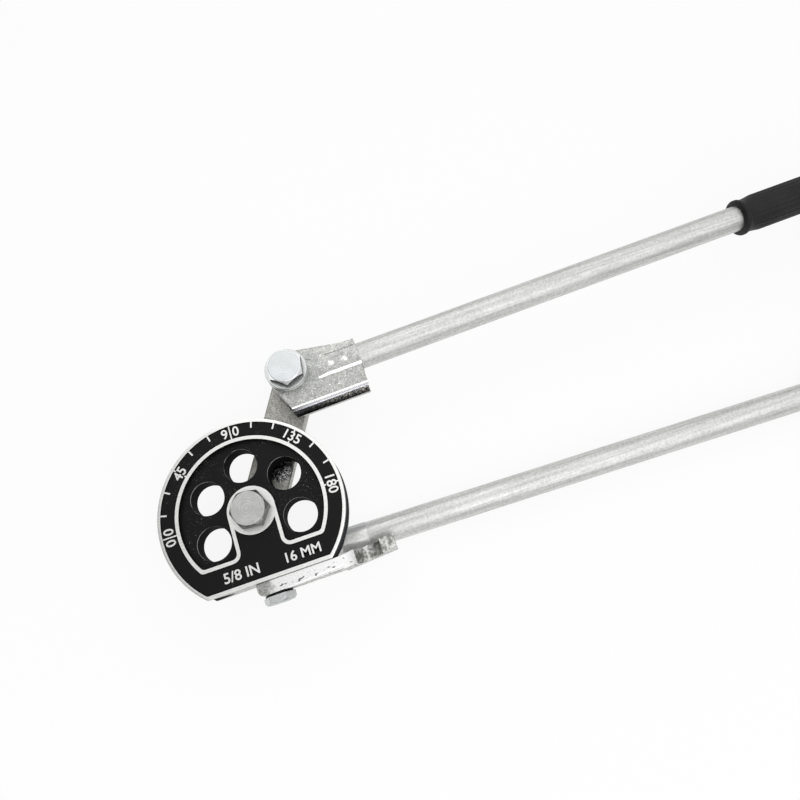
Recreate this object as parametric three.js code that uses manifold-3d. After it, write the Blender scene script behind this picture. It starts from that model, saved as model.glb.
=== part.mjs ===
// A lever tube bender lying on its back: a grooved forming wheel on the lower
// handle, a link, and an upper handle whose head carries the forming shoe.
// Millimetres. Z is the wheel's axle, up out of its dial, with the bench at Z = 0.
// X runs along the dial's base line towards its 180 mark, Y towards its 90 mark.
import * as THREE from 'three';
import { mergeVertices } from 'three/addons/utils/BufferGeometryUtils.js';
import Module from 'manifold-3d';

const wasm = await Module();
wasm.setup();

// Tube being bent, and the wheel that forms it
const tubeDiameter = 16;
const bendRadius = 57;
const wheelThickness = 22;
const rimEdge = 0.4;
const ridgeWidth = 2.2;
const landDepth = 0.8;
const chordDistance = 42.5;
const hubRadius = 14.7;
const pocketRadius = 44;
const pocketFlat = 25;
const pocketDepth = 4;
const pocketCorner = 3.5;
const windowRadius = 10.5;
const windowCount = 5;
const windowStep = 56.5;

// Head of the upper handle with its forming shoe, measured from the pivot
const shoeDrop = 25.1;
const shoeLead = 34.2;
const shoeBack = 4.5;
const headLength = 46;
const headTopEnd = 5;
const noseRadius = 13.5;
const castEdge = 0.8;
const padRaise = 1.5;
const padWidth = 11.6;
const padDrop = 1.3;
const padStart = 18.6;

// Pipes, grips and the drive pins in their sockets
const pipeDiameter = 17.2;
const pipeWall = 2;
const upperPipeDrop = 3.6;
const upperPipeDepth = 8.8;
const upperPipeReach = 319;
const lowerPipeReach = 372;
const lowerPipeInset = 10.7;
const lowerPipeTurn = -1.46;
const socketWall = 2.6;
const socketLength = 40;
const collarLength = 21;
const collarWall = 0.4;
const socketEnd = 15.5;
const gripDiameter = 24.4;
const gripLength = 120;
const gripLip = 6;
const gripEnd = 5;
const gripRibs = 24;
const gripRibFoot = 0.1;
const gripRibTop = 0.3;
const gripRibDepth = 0.5;
const gripNeck = 3;
const lipRound = 1;
const capRound = 2;
const pinDiameter = 3;
const pinLength = 6.5;
const pinPitch = 8.8;
const pinStart = 9.5;

// Link and the M14 fasteners at its two ends
const linkThickness = 8.5;
const linkWidth = 27.5;
const boltDiameter = 14;
const boltFlats = 21;
const axleHead = 8.8;
const pivotHead = 5.4;
const boltTail = 4.7;
const boltTip = 1;
const nutChamfer = 1.2;
const headChamferShare = 0.06;
const hexagonFaceShare = 0.46;
const washerDiameter = 26.8;
const washerThickness = 2;
const frontWasherThickness = 5.4;
const spacerThickness = 0.8;

// Swing-over hook that holds the tube at the start of a bend
const hookPivotX = 1;
const hookDepth = 16;
const hookHeight = 7.8;
const hookBack = 10.5;
const hookRise = 2.3;
const hookCorner = 4;
const hookFinger = 9;
const hookCheek = 8.4;
const hookBoltDiameter = 10;
const hookBoltFlats = 17;
const hookBoltHead = 5.6;
const hookBoltHold = 16;
const hookWasherThickness = 1;

// Clearances
const runningFit = 0.1;
const pressedFit = 0.15;
const faceGap = 0.1;
const hookGap = 0.3;
const grooveFit = 0.1;
const shoeGap = 0.5;
const gripPassing = 1;
const cutOver = 1;

// Rest pose in degrees, as photographed
const linkAngle = 59.8;
const leverAngle = 1.95;
const axleBoltTurn = 54.5;
const pivotBoltTurn = 22;

// Steps round a full turn
const wheelSteps = 72;
const roundSteps = 30;
const smallSteps = 20;

// Levels above the bench
const pipeRadius = pipeDiameter / 2;
const gripRadius = gripDiameter / 2;
const socketRadius = pipeRadius + socketWall;
const collarRadius = pipeRadius + collarWall;
const collarEnd = socketLength + collarLength;
const lowerPipeZ = gripRadius;
const upperPipeZ = lowerPipeZ + gripDiameter + gripPassing;
const wheelFrontZ = upperPipeZ + upperPipeDepth;
const wheelBackZ = wheelFrontZ - wheelThickness;
const grooveZ = (wheelFrontZ + wheelBackZ) / 2;
const grooveRadius = tubeDiameter / 2 + grooveFit;
const padTopZ = wheelFrontZ + padRaise;
const spacerTopZ = wheelBackZ - faceGap;
const linkTopZ = spacerTopZ - spacerThickness - faceGap;
const linkBottomZ = linkTopZ - linkThickness;
const washerTopZ = linkBottomZ - faceGap;
const nutTopZ = washerTopZ - washerThickness - faceGap;
const frontWasherZ = wheelFrontZ + faceGap;

// Plan positions
const linkLength = Math.hypot(bendRadius + shoeGap + shoeDrop, shoeLead);
const lowerPipeY = lowerPipeInset - chordDistance;
const padY = -upperPipeDrop - padDrop;
const hookTopY = -chordDistance - hookGap;
const hookBottomY = hookTopY - hookHeight;
const hookHeadY = hookTopY + hookRise;
const seatX = bendRadius + 2 * hookPivotX;
const cheekX = seatX - grooveRadius - hookCheek;
const hookTipX = seatX + grooveRadius + hookFinger;

// Colours read from the photograph
const wheelBlack = finish('#1c1c1d', 0.45, 0.3);
const castMetal = finish('#b9bab8', 0.5, 0.9);
const platedSteel = finish('#c4c6c6', 0.35, 1);
const boltSteel = finish('#a9acab', 0.4, 1);
const gripRubber = finish('#1b1b1c', 0.7, 0);

function finish(color, roughness, metalness) {
  return new THREE.MeshStandardMaterial({ color, roughness, metalness });
}

// A closed geometry as a solid, with shared corners merged and flat slivers left out
function solid(geometry) {
  geometry.deleteAttribute('normal');
  geometry.deleteAttribute('uv');
  const merged = mergeVertices(geometry);
  const corners = merged.index.array;
  const triangles = [];
  for (let i = 0; i < corners.length; i += 3) {
    const [a, b, c] = corners.slice(i, i + 3);
    if (a !== b && b !== c && c !== a) triangles.push(a, b, c);
  }
  return new wasm.Manifold(new wasm.Mesh({
    numProp: 3,
    vertProperties: new Float32Array(merged.attributes.position.array),
    triVerts: new Uint32Array(triangles),
  }));
}

function piece(name, body, material) {
  const { vertProperties, triVerts } = body.getMesh();
  const geometry = new THREE.BufferGeometry();
  geometry.setAttribute('position', new THREE.BufferAttribute(vertProperties, 3));
  geometry.setIndex(new THREE.BufferAttribute(triVerts, 1));
  geometry.computeVertexNormals();
  const mesh = new THREE.Mesh(geometry, material);
  mesh.name = name;
  return mesh;
}

// A plan outline raised from one level to another, its edges broken by a bevel
function plate(shape, fromZ, toZ, bevel = 0) {
  const geometry = new THREE.ExtrudeGeometry(shape, {
    depth: toZ - fromZ - 2 * bevel,
    bevelEnabled: bevel > 0,
    bevelThickness: bevel,
    bevelSize: bevel,
    bevelOffset: -bevel,
    bevelSegments: 1,
    curveSegments: smallSteps,
  });
  return solid(geometry.translate(0, 0, fromZ + bevel));
}

// A profile of [radius, level] pairs turned about Z
function turned(profile, steps = roundSteps) {
  const points = profile.map(([radius, level]) => new THREE.Vector2(radius, level));
  return solid(new THREE.LatheGeometry(points, steps).rotateX(Math.PI / 2));
}

// The same turned about X, with a station along X in place of the level
function turnedAlongX(profile) {
  return turned(profile).rotate([0, 90, 0]);
}

function rod(radius, fromZ, toZ, steps = roundSteps) {
  const geometry = new THREE.CylinderGeometry(radius, radius, toZ - fromZ, steps);
  return solid(geometry.rotateX(Math.PI / 2).translate(0, 0, (fromZ + toZ) / 2));
}

function rodAlongX(radius, fromX, toX, y, z) {
  return rod(radius, fromX, toX).rotate([0, 90, 0]).translate([0, y, z]);
}

function rodAlongY(radius, fromY, toY, x, z) {
  return rod(radius, -toY, -fromY).rotate([90, 0, 0]).translate([x, 0, z]);
}

function block(fromX, toX, fromY, toY, fromZ, toZ) {
  const geometry = new THREE.BoxGeometry(toX - fromX, toY - fromY, toZ - fromZ);
  return solid(geometry.translate((fromX + toX) / 2, (fromY + toY) / 2, (fromZ + toZ) / 2));
}

// Horseshoe round the hub: an arc above, flats below and a tongue left between the legs
function horseshoe(outerRadius, flat, tongueHalf) {
  const cornerX = Math.sqrt(outerRadius ** 2 - flat ** 2);
  const arcEnd = Math.atan2(flat, cornerX) - pocketCorner / outerRadius;
  const shape = new THREE.Shape();
  shape.moveTo(-tongueHalf, 0);
  shape.lineTo(-tongueHalf, pocketCorner - flat);
  shape.quadraticCurveTo(-tongueHalf, -flat, -tongueHalf - pocketCorner, -flat);
  shape.lineTo(pocketCorner - cornerX, -flat);
  shape.quadraticCurveTo(-cornerX, -flat,
    -outerRadius * Math.cos(arcEnd), -outerRadius * Math.sin(arcEnd));
  shape.absarc(0, 0, outerRadius, Math.PI + arcEnd, -arcEnd, true);
  shape.quadraticCurveTo(cornerX, -flat, cornerX - pocketCorner, -flat);
  shape.lineTo(tongueHalf + pocketCorner, -flat);
  shape.quadraticCurveTo(tongueHalf, -flat, tongueHalf, pocketCorner - flat);
  shape.lineTo(tongueHalf, 0);
  shape.absarc(0, 0, tongueHalf, 0, Math.PI, false);
  return shape;
}

// Turned blank with its half-round tube groove, cut off flat below
function wheelBlank() {
  const grooveSteps = 10;
  const profile = [
    [0, wheelBackZ],
    [bendRadius - rimEdge, wheelBackZ],
    [bendRadius, wheelBackZ + rimEdge],
  ];
  for (let i = 0; i <= grooveSteps; i += 1) {
    const angle = Math.PI * (i / grooveSteps);
    const radius = bendRadius - grooveRadius * Math.sin(angle);
    profile.push([radius, grooveZ - grooveRadius * Math.cos(angle)]);
  }
  profile.push([bendRadius, wheelFrontZ - rimEdge]);
  profile.push([bendRadius - rimEdge, wheelFrontZ]);
  profile.push([0, wheelFrontZ]);
  const wide = 2 * bendRadius;
  return turned(profile, wheelSteps)
    .subtract(block(-wide, wide, -wide, -chordDistance, 0, 2 * wheelFrontZ));
}

// Sunk black lands of the dial, between the bare ridges at the rim and round the pocket
function dialLands() {
  const floorZ = wheelFrontZ - landDepth;
  const aboveZ = wheelFrontZ + cutOver;
  const wide = 2 * bendRadius;
  const ridge = horseshoe(pocketRadius + ridgeWidth, pocketFlat + ridgeWidth, hubRadius - ridgeWidth);
  return rod(bendRadius - ridgeWidth, floorZ, aboveZ, wheelSteps)
    .subtract(block(-wide, wide, -wide, ridgeWidth - chordDistance, 0, 2 * aboveZ))
    .subtract(plate(ridge, floorZ - cutOver, aboveZ + cutOver))
    .subtract(rod(hubRadius, floorZ - cutOver, aboveZ + cutOver));
}

// Round windows through the pocket's floor, centred on the 90 mark
function pocketWindows() {
  const pitchRadius = (hubRadius + pocketRadius) / 2;
  const windows = [];
  for (let i = 0; i < windowCount; i += 1) {
    const angle = THREE.MathUtils.degToRad(90 + (i - (windowCount - 1) / 2) * windowStep);
    const centre = [pitchRadius * Math.cos(angle), pitchRadius * Math.sin(angle), 0];
    windows.push(rod(windowRadius, wheelBackZ - cutOver, wheelFrontZ + cutOver).translate(centre));
  }
  return wasm.Manifold.union(windows);
}

// Cast socket behind the wheel that takes the lower pipe, along its own X
function lowerSocket() {
  return rodAlongX(socketRadius, 0, socketLength, 0, 0)
    .add(rodAlongX(collarRadius, socketLength - cutOver, collarEnd, 0, 0))
    .add(block(0, socketLength, -pipeRadius, pipeRadius, 0, wheelBackZ - lowerPipeZ + cutOver));
}

// From the lower pipe's own frame to its place on the wheel
function onLowerPipe(body) {
  return body.rotate([0, 0, lowerPipeTurn]).translate([0, lowerPipeY, lowerPipeZ]);
}

// From the upper pipe's own frame to its place on the lever
function onUpperPipe(body) {
  return body.translate([0, -upperPipeDrop, upperPipeZ]);
}

// A driven pin standing on a level, or the hole for it with a fit added
function pin(x, y, fromZ, fit = 0) {
  return rod(pinDiameter / 2 + fit, fromZ - fit, fromZ + pinLength + fit, smallSteps).translate([x, y, 0]);
}

// Pins of a socket: index 0 is the one nearer the wheel
function lowerPin(index, fit = 0) {
  return onLowerPipe(pin(socketEnd + pinStart + index * pinPitch, 0, -socketRadius, fit));
}

function upperPin(index, fit = 0) {
  const x = padStart + pinStart + index * pinPitch;
  return onUpperPipe(pin(x, -padDrop, padTopZ - upperPipeZ - pinLength, fit));
}

// Holes for a pair of pins, carried on through the face that they are driven from
function pinHoles(placedPin, through) {
  const holes = [];
  for (let index = 0; index < 2; index += 1) {
    const hole = placedPin(index, pressedFit);
    holes.push(hole, hole.translate([0, 0, through]));
  }
  return wasm.Manifold.union(holes);
}

function formingWheel() {
  const pocket = horseshoe(pocketRadius, pocketFlat, hubRadius);
  const pipeBore = rodAlongX(pipeRadius + pressedFit, socketEnd - faceGap, 2 * socketLength, 0, 0);
  return wheelBlank()
    .subtract(dialLands())
    .subtract(plate(pocket, wheelFrontZ - pocketDepth, wheelFrontZ + cutOver))
    .subtract(plate(pocket, wheelBackZ - cutOver, wheelBackZ + pocketDepth))
    .subtract(pocketWindows())
    .add(onLowerPipe(lowerSocket()))
    .subtract(onLowerPipe(pipeBore))
    .subtract(pinHoles(lowerPin, -cutOver))
    .subtract(rod(boltDiameter / 2 + runningFit, 0, 2 * wheelFrontZ))
    .subtract(rodAlongY(hookBoltDiameter / 2 + pressedFit, -chordDistance - cutOver,
      hookBoltHold - chordDistance + faceGap, hookPivotX, grooveZ));
}

// Pipe from the bottom of its socket to the closed end of its grip
function pipe(reach) {
  const bore = pipeRadius - pipeWall;
  const end = reach + gripLength - gripEnd - faceGap;
  return turnedAlongX([
    [bore, socketEnd],
    [pipeRadius, socketEnd],
    [pipeRadius, end],
    [bore, end],
    [bore, socketEnd],
  ]);
}

// Lengthwise ribs of a grip as one fluted length
function gripFlutes(fromX, toX) {
  const root = gripRadius - gripRibDepth;
  const rib = [
    [gripRibFoot, root],
    [gripRibTop, gripRadius],
    [1 - gripRibTop, gripRadius],
    [1 - gripRibFoot, root],
  ];
  const outline = [];
  for (let i = 0; i < gripRibs; i += 1) {
    for (const [share, radius] of rib) {
      const angle = ((i + share) / gripRibs) * 2 * Math.PI;
      outline.push(new THREE.Vector2(radius * Math.cos(angle), radius * Math.sin(angle)));
    }
  }
  return plate(new THREE.Shape(outline), fromX, toX).rotate([0, 90, 0]);
}

// Moulded sleeve with a rounded lip, a neck behind it, ribs and a closed end
function grip(reach) {
  const end = reach + gripLength;
  const ribsFrom = reach + gripLip + gripNeck;
  const ribsTo = end - gripEnd;
  const neckRadius = gripRadius - 2 * gripRibDepth;
  const lip = turnedAlongX([
    [0, reach],
    [gripRadius - lipRound, reach],
    [gripRadius, reach + lipRound],
    [gripRadius, reach + gripLip - lipRound],
    [neckRadius, reach + gripLip],
    [neckRadius, ribsFrom + cutOver],
    [0, ribsFrom + cutOver],
  ]);
  const cap = turnedAlongX([
    [0, ribsTo - cutOver],
    [gripRadius, ribsTo - cutOver],
    [gripRadius, end - capRound],
    [gripRadius - capRound, end],
    [0, end],
  ]);
  return lip
    .add(gripFlutes(ribsFrom, ribsTo))
    .add(cap)
    .subtract(rodAlongX(pipeRadius + pressedFit, reach - cutOver, ribsTo, 0, 0));
}

// Hexagon with one corner at a turn in degrees, its ends turned down to a chamfer
function hexagon(flats, fromZ, toZ, turn, lowChamfer, highChamfer) {
  const cornerRadius = flats / Math.sqrt(3);
  const faceRadius = hexagonFaceShare * flats;
  return rod(cornerRadius, fromZ, toZ, 6).rotate([0, 0, turn - 30]).intersect(turned([
    [0, fromZ],
    [lowChamfer > 0 ? faceRadius : cornerRadius, fromZ],
    [cornerRadius, fromZ + lowChamfer],
    [cornerRadius, toZ - highChamfer],
    [faceRadius, toZ],
    [0, toZ],
  ]));
}

// Hexagon bolt standing along Z from its tip up to the seat of its head
function bolt(diameter, flats, tipZ, seatZ, headHeight, turn) {
  const radius = diameter / 2;
  const shank = turned([
    [0, tipZ],
    [radius - boltTip, tipZ],
    [radius, tipZ + boltTip],
    [radius, seatZ + cutOver],
    [0, seatZ + cutOver],
  ]);
  return hexagon(flats, seatZ, seatZ + headHeight, turn, 0, headChamferShare * flats).add(shank);
}

function nut(turn) {
  return hexagon(boltFlats, boltTail, nutTopZ, turn, nutChamfer, nutChamfer)
    .subtract(rod(boltDiameter / 2 + pressedFit, 0, nutTopZ + cutOver));
}

function washer(fromZ, thickness) {
  return rod(washerDiameter / 2, fromZ, fromZ + thickness)
    .subtract(rod(boltDiameter / 2 + runningFit, fromZ - cutOver, fromZ + thickness + cutOver));
}

// Link plate along X from the axle to the pivot
function linkPlate() {
  const half = linkWidth / 2;
  const outline = new THREE.Shape();
  outline.absarc(0, 0, half, 0.5 * Math.PI, 1.5 * Math.PI, false);
  outline.absarc(linkLength, 0, half, -0.5 * Math.PI, 0.5 * Math.PI, false);
  const bore = rod(boltDiameter / 2 + runningFit, linkBottomZ - cutOver, linkTopZ + cutOver);
  return plate(outline, linkBottomZ, linkTopZ, castEdge)
    .subtract(bore)
    .subtract(bore.translate([linkLength, 0, 0]));
}

// Direction in which a line from (x, y) touches the nose, on the side given by the sign
function noseTangent(x, y, side) {
  return Math.atan2(y, x) + side * Math.acos(noseRadius / Math.hypot(x, y));
}

// Head casting along X from the pivot, with the shoe's groove under the pipe's socket
function shoeHead() {
  const outline = new THREE.Shape();
  outline.moveTo(-shoeBack, -shoeDrop);
  outline.lineTo(headLength, -shoeDrop);
  outline.lineTo(headLength, headTopEnd);
  outline.absarc(0, 0, noseRadius, noseTangent(headLength, headTopEnd, 1),
    noseTangent(-shoeBack, -shoeDrop, -1) + 2 * Math.PI, false);
  const long = 2 * headLength;
  const boss = rodAlongX(socketRadius, padStart, headLength + castEdge, -upperPipeDrop, upperPipeZ)
    .subtract(block(-long, long, -long, long, padTopZ, 2 * padTopZ));
  const pad = block(padStart, headLength + castEdge, padY - padWidth / 2, padY + padWidth / 2,
    wheelFrontZ - cutOver, padTopZ);
  return plate(outline, wheelBackZ, wheelFrontZ, castEdge)
    .add(boss)
    .add(pad)
    .subtract(rodAlongX(grooveRadius, -noseRadius, long, -shoeDrop, grooveZ))
    .subtract(rodAlongX(pipeRadius + pressedFit, socketEnd - faceGap, long, -upperPipeDrop, upperPipeZ))
    .subtract(pinHoles(upperPin, cutOver))
    .subtract(rod(boltDiameter / 2 + runningFit, 0, 2 * wheelFrontZ));
}

// Level at which the hook's head comes to lie on the flank of the lower pipe's collar
function hookRestZ() {
  const axisY = lowerPipeY + collarEnd * Math.tan(THREE.MathUtils.degToRad(lowerPipeTurn));
  return lowerPipeZ + Math.sqrt(collarRadius ** 2 - (axisY - hookHeadY) ** 2) + hookGap;
}

// Hook arm along the wheel's flat, with a half-round seat for the tube near its tip
function tubeHook() {
  const frontZ = grooveZ + hookDepth / 2;
  const backX = hookPivotX - hookBack;
  const armX = cheekX + hookCorner;
  const arm = new THREE.Shape();
  arm.moveTo(backX + hookCorner, hookBottomY);
  arm.lineTo(armX, hookBottomY);
  arm.lineTo(armX, hookTopY);
  arm.lineTo(backX, hookTopY);
  arm.lineTo(backX, hookBottomY + hookCorner);
  arm.quadraticCurveTo(backX, hookBottomY, backX + hookCorner, hookBottomY);
  const head = new THREE.Shape();
  head.moveTo(cheekX, hookBottomY);
  head.lineTo(hookTipX, hookBottomY + hookRise);
  head.lineTo(hookTipX, hookHeadY);
  head.lineTo(seatX, hookHeadY);
  head.lineTo(cheekX, hookTopY);
  const [belowY, aboveY] = [hookBottomY - cutOver, hookHeadY + cutOver];
  return plate(arm, grooveZ - hookDepth / 2, frontZ, castEdge)
    .add(plate(head, hookRestZ(), frontZ, castEdge))
    .subtract(rodAlongY(grooveRadius, belowY, aboveY, seatX, grooveZ))
    .subtract(block(seatX - grooveRadius, seatX + grooveRadius, belowY, aboveY, grooveZ, frontZ + cutOver))
    .subtract(rodAlongY(hookBoltDiameter / 2 + runningFit, belowY, aboveY, hookPivotX, grooveZ));
}

// A fastener made along Z turned to stand along -Y at the hook's pivot
function onHookPivot(body) {
  return body.rotate([90, 0, 0]).translate([hookPivotX, 0, grooveZ]);
}

function hookBolt() {
  const seat = -hookBottomY + hookWasherThickness + 2 * faceGap;
  return onHookPivot(bolt(hookBoltDiameter, hookBoltFlats, chordDistance - hookBoltHold, seat,
    hookBoltHead, 0));
}

function hookWasher() {
  const seat = -hookBottomY + faceGap;
  const disc = rod(hookBoltFlats / 2, seat, seat + hookWasherThickness);
  const bore = rod(hookBoltDiameter / 2 + pressedFit, seat - cutOver, seat + 2 * cutOver);
  return onHookPivot(disc.subtract(bore));
}

const lowerPipe = onLowerPipe(pipe(lowerPipeReach)).subtract(pinHoles(lowerPin, 0));
const upperPipe = onUpperPipe(pipe(upperPipeReach)).subtract(pinHoles(upperPin, 0));

const bender = new THREE.Group();
bender.add(
  piece('forming_wheel', formingWheel(), wheelBlack),
  piece('axle_bolt', bolt(boltDiameter, boltFlats, 0, frontWasherZ, axleHead, axleBoltTurn), boltSteel),
  piece('axle_spacer', washer(spacerTopZ - spacerThickness, spacerThickness), platedSteel),
  piece('axle_washer', washer(washerTopZ - washerThickness, washerThickness), platedSteel),
  piece('axle_nut', nut(axleBoltTurn), boltSteel),
  piece('lower_pipe', lowerPipe, platedSteel),
  piece('lower_pin_inner', lowerPin(0), boltSteel),
  piece('lower_pin_outer', lowerPin(1), boltSteel),
  piece('lower_grip', onLowerPipe(grip(lowerPipeReach)), gripRubber),
  piece('tube_hook', tubeHook(), castMetal),
  piece('hook_washer', hookWasher(), boltSteel),
  piece('hook_bolt', hookBolt(), boltSteel),
);

const link = new THREE.Group();
link.rotation.z = THREE.MathUtils.degToRad(linkAngle);
link.add(piece('link_plate', linkPlate(), castMetal));
bender.add(link);

// The pivot's fasteners turn with the link, and the lever turns about them
const pivot = new THREE.Group();
pivot.position.x = linkLength;
const headSeatZ = frontWasherZ + frontWasherThickness + faceGap;
const pivotTurn = pivotBoltTurn - linkAngle;
pivot.add(
  piece('pivot_bolt', bolt(boltDiameter, boltFlats, 0, headSeatZ, pivotHead, pivotTurn), boltSteel),
  piece('pivot_front_washer', washer(frontWasherZ, frontWasherThickness), platedSteel),
  piece('pivot_spacer', washer(spacerTopZ - spacerThickness, spacerThickness), platedSteel),
  piece('pivot_back_washer', washer(washerTopZ - washerThickness, washerThickness), platedSteel),
  piece('pivot_nut', nut(pivotTurn), boltSteel),
);
link.add(pivot);

const lever = new THREE.Group();
lever.rotation.z = THREE.MathUtils.degToRad(leverAngle - linkAngle);
lever.add(
  piece('shoe_head', shoeHead(), castMetal),
  piece('upper_pipe', upperPipe, platedSteel),
  piece('upper_pin_inner', upperPin(0), boltSteel),
  piece('upper_pin_outer', upperPin(1), boltSteel),
  piece('upper_grip', onUpperPipe(grip(upperPipeReach)), gripRubber),
);
pivot.add(lever);

export default bender;
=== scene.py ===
import math
import bmesh
import bpy
from mathutils import Matrix, Vector


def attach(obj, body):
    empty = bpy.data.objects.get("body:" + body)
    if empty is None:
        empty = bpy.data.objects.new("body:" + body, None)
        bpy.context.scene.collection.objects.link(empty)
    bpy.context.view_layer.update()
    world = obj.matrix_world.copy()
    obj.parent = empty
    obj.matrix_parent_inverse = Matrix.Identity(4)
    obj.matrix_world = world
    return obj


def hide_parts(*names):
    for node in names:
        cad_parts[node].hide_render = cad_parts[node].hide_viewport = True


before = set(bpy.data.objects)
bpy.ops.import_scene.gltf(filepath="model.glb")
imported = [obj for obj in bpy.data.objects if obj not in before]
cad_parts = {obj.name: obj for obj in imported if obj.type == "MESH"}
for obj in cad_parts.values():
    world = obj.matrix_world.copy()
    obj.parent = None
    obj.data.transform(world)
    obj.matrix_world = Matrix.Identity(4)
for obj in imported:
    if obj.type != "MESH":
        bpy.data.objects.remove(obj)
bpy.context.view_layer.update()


# The forming wheel: one aluminium casting with a half-round groove turned in its
# rim. Its dial is sprayed black and then ground, so that the raised ridges, marks
# and hub come up bare. A horseshoe pocket lightens it, with five windows through.
MM = 0.001
WHEEL_RADIUS = 57
WHEEL_TOP = 46.4
WHEEL_BACK = 24.4
GROOVE_Z = 35.4
GROOVE_RADIUS = 8.1
RIDGE = 2.2
LAND_Z = WHEEL_TOP - 0.8
LAND_RADIUS = WHEEL_RADIUS - RIDGE
UNDER_LAND = 44.0
CHORD_Y = -42.5
HUB_RADIUS = 14.7
POCKET_DEPTH = 4
POCKET_RADIUS = 44
POCKET_FLAT = 25
POCKET_CORNER = 3.5
POCKET_TIGHT_CORNER = 1.6
WINDOW_COUNT = 5
WINDOW_STEP = 56.5
WINDOW_RADIUS = 10.5
WINDOW_CIRCLE = 29.35
UNDER_WHEEL, OVER_WHEEL = 20, 50
BARE, ENAMEL, PAINTED_RIM_SHADE, AS_CAST, WINDOW_WALL_SHADE = range(5)


def linear(code):
    """An sRGB hex colour as the linear one that the shader takes."""
    parts = [int(code[i:i + 2], 16) / 255 for i in (1, 3, 5)]
    return [c / 12.92 if c <= 0.04045 else ((c + 0.055) / 1.055) ** 2.4 for c in parts] + [1]


def add_node(tree, kind, output, inputs, **settings):
    """The output of a new shader node; each input is given a value or another node's output."""
    node = tree.nodes.new("ShaderNode" + kind)
    for key, value in settings.items():
        setattr(node, key, value)
    for key, value in inputs.items():
        if isinstance(value, bpy.types.NodeSocket):
            tree.links.new(value, node.inputs[key])
        else:
            node.inputs[key].default_value = value
    return node.outputs[output]


def between(low, high, at_low=0.0, at_high=1.0):
    """Inputs that grade a value from one range to another and hold it at the ends."""
    return {"From Min": low, "From Max": high, "To Min": at_low, "To Max": at_high}


def patch_size(size, detail=2):
    """Inputs that give noise patches of about a size in mm."""
    return {"Scale": 0.5 / size, "Detail": detail}


def blotches(tree, place, size, low, high, at_low=0.0, at_high=1.0, detail=2):
    """Noise in patches of about a size in mm, graded between two of its values."""
    noise = add_node(tree, "TexNoise", "Fac", {"Vector": place, **patch_size(size, detail)})
    return add_node(tree, "MapRange", "Result", {"Value": noise, **between(low, high, at_low, at_high)})


def shades(tree, pattern, first, second, low=0.0, high=1.0):
    """One hex colour where a pattern is low, running into another where it is high."""
    share = add_node(tree, "MapRange", "Result", {"Value": pattern, **between(low, high)})
    return add_node(tree, "Mix", "Result", {"Factor": share, "A": linear(first), "B": linear(second)},
                    data_type="RGBA")


def new_material(name, colour, metallic, roughness, specular=0.5):
    """A material with its principled shader and the piece's object coordinates in mm."""
    material = bpy.data.materials.new(name)
    material.use_nodes = True
    tree = material.node_tree
    shader = tree.nodes["Principled BSDF"]
    shader.inputs["Base Color"].default_value = linear(colour)
    shader.inputs["Metallic"].default_value = metallic
    shader.inputs["Roughness"].default_value = roughness
    shader.inputs["Specular IOR Level"].default_value = specular
    metres = add_node(tree, "TexCoord", "Object", {})
    place = add_node(tree, "VectorMath", "Vector", {0: metres, 1: [1 / MM] * 3}, operation="MULTIPLY")
    return material, tree, shader, place


def dress(tree, shader, colour=None, gloss=None, relief=None):
    """Link the colour, the roughness as (pattern, its range, roughness there) and the relief in mm."""
    if colour is not None:
        tree.links.new(colour, shader.inputs["Base Color"])
    if gloss is not None:
        pattern, low, high, at_low, at_high = gloss
        graded = {"Value": pattern, **between(low, high, at_low, at_high)}
        tree.links.new(add_node(tree, "MapRange", "Result", graded), shader.inputs["Roughness"])
    if relief is not None:
        height, depth = relief
        bumped = add_node(tree, "Bump", "Normal", {"Height": height, "Distance": depth * MM, "Strength": 1.0})
        tree.links.new(bumped, shader.inputs["Normal"])


# Sand-blasted and ground cast aluminium: bright, with fine grinding scratches.
ground_aluminium, tree, shader, place = new_material("ground cast aluminium", "#f2f2f0", 1.0, 0.42)
scratches = add_node(tree, "Mapping", "Vector",
                     {"Vector": place, "Scale": (0.25, 3.0, 1.0), "Rotation": (0, 0, 0.4)})
fine = add_node(tree, "TexNoise", "Fac", {"Vector": scratches, **patch_size(0.35)})
dress(tree, shader, shades(tree, fine, "#e2e2e0", "#fdfdfc", 0.3, 0.7), (fine, 0.3, 0.7, 0.36, 0.5),
      (fine, 0.02))

# Black stoving enamel on a casting: satin, a little orange peel, with pale dust specks.
black_enamel, tree, shader, place = new_material("black enamel on casting", "#121213", 0.0, 0.4, 0.15)
peel = add_node(tree, "TexNoise", "Fac", {"Vector": place, **patch_size(0.9, 3)})
specks = blotches(tree, place, 0.24, 0.7, 0.77, detail=1)
dusty = blotches(tree, place, 9, 0.48, 0.58)
dust = add_node(tree, "Math", "Value", {0: specks, 1: dusty}, operation="MULTIPLY")
dress(tree, shader, shades(tree, dust, "#101011", "#9a9a98"), (peel, 0.3, 0.7, 0.36, 0.5), (peel, 0.03))

# Black enamel down in the windows, painted darker and duller than on the dial as shade, with a pale ragged
# painted highlight along their top edges.
window_painted_shade, tree, shader, place = new_material("black enamel in a window, painted shade and highlight", "#0b0b0b", 0.0, 0.75, 0.05)
level = add_node(tree, "SeparateXYZ", "Z", {"Vector": place})
near_top = add_node(tree, "MapRange", "Result", {"Value": level, **between(40.9, 41.9)})
# The ragged pale band made here is the painted highlight along the windows' top edges.
worn = blotches(tree, place, 2.5, 0.34, 0.52, 0.1, 1)
pale_share = add_node(tree, "Math", "Value", {0: near_top, 1: worn}, operation="MULTIPLY")
pores = add_node(tree, "TexNoise", "Fac", {"Vector": place, **patch_size(0.7, 3)})
dress(tree, shader, shades(tree, pale_share, "#0b0b0b", "#bcbcbc"), relief=(pores, 0.05))
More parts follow.
